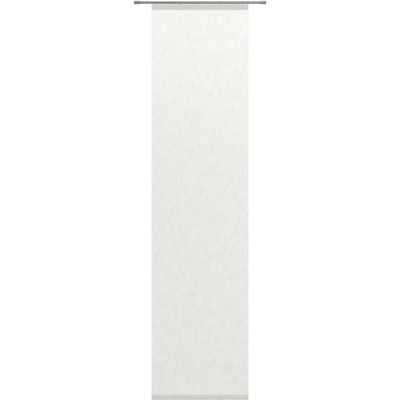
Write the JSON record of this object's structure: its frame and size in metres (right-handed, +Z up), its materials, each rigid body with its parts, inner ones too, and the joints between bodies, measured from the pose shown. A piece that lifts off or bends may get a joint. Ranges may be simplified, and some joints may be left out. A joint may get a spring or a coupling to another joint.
{
  "type": "sliding panel curtain",
  "caption": "Flat panel of sheer slub cloth on a glider carrier, sliding along a slotted round wall pole with capped ends, held straight by a weight bar in its hem.",
  "frame": {"origin": "on the wall, midway between the two wall brackets and level with the pole's axis", "axes": "+X along the pole to the right as seen from the room, +Y into the wall, +Z up"},
  "size_m": [0.82, 0.0704, 2.4742],
  "materials": {
    "pole_metal": "brushed grey metal look",
    "cap_metal": "satin grey metal look",
    "carrier_metal": "natural anodised",
    "bar_metal": "bright rolled aluminium",
    "bracket_zinc": "die-cast zinc, satin",
    "screw_steel": "dark zinc plated",
    "glider_plastic": "self-lubricating white moulding",
    "grey_plastic": "grey moulding",
    "hook_nylon": "dark grey hook tape",
    "loop_nylon": "dark grey loop tape",
    "voile": "sheer slub voile, off-white"
  },
  "bodies": {
    "track": {"pole": "pole_metal", "end_cap_left": "cap_metal", "end_cap_right": "cap_metal", "end_stop_left": "grey_plastic", "end_stop_right": "grey_plastic", "stop_screw_left": "screw_steel", "stop_screw_right": "screw_steel", "bracket_left": "bracket_zinc", "bracket_right": "bracket_zinc", "clamp_nut_left": "screw_steel", "clamp_nut_right": "screw_steel", "clamp_screw_left": "screw_steel", "clamp_screw_right": "screw_steel"},
    "panel": {"glider_1": "glider_plastic", "glider_2": "glider_plastic", "glider_3": "glider_plastic", "glider_4": "glider_plastic", "glider_5": "glider_plastic", "carrier_profile": "carrier_metal", "carrier_cap_left": "grey_plastic", "carrier_cap_right": "grey_plastic", "hook_tape": "hook_nylon", "loop_tape": "loop_nylon", "fabric_panel": "voile", "weight_bar": "bar_metal", "bar_plug_left": "grey_plastic", "bar_plug_right": "grey_plastic"}
  },
  "joints": [
    {"name": "panel_slide", "type": "slide", "parent": "track", "child": "panel", "axis": [1, 0, 0], "range_m": [-0.0885, 0.0885]}
  ]
}
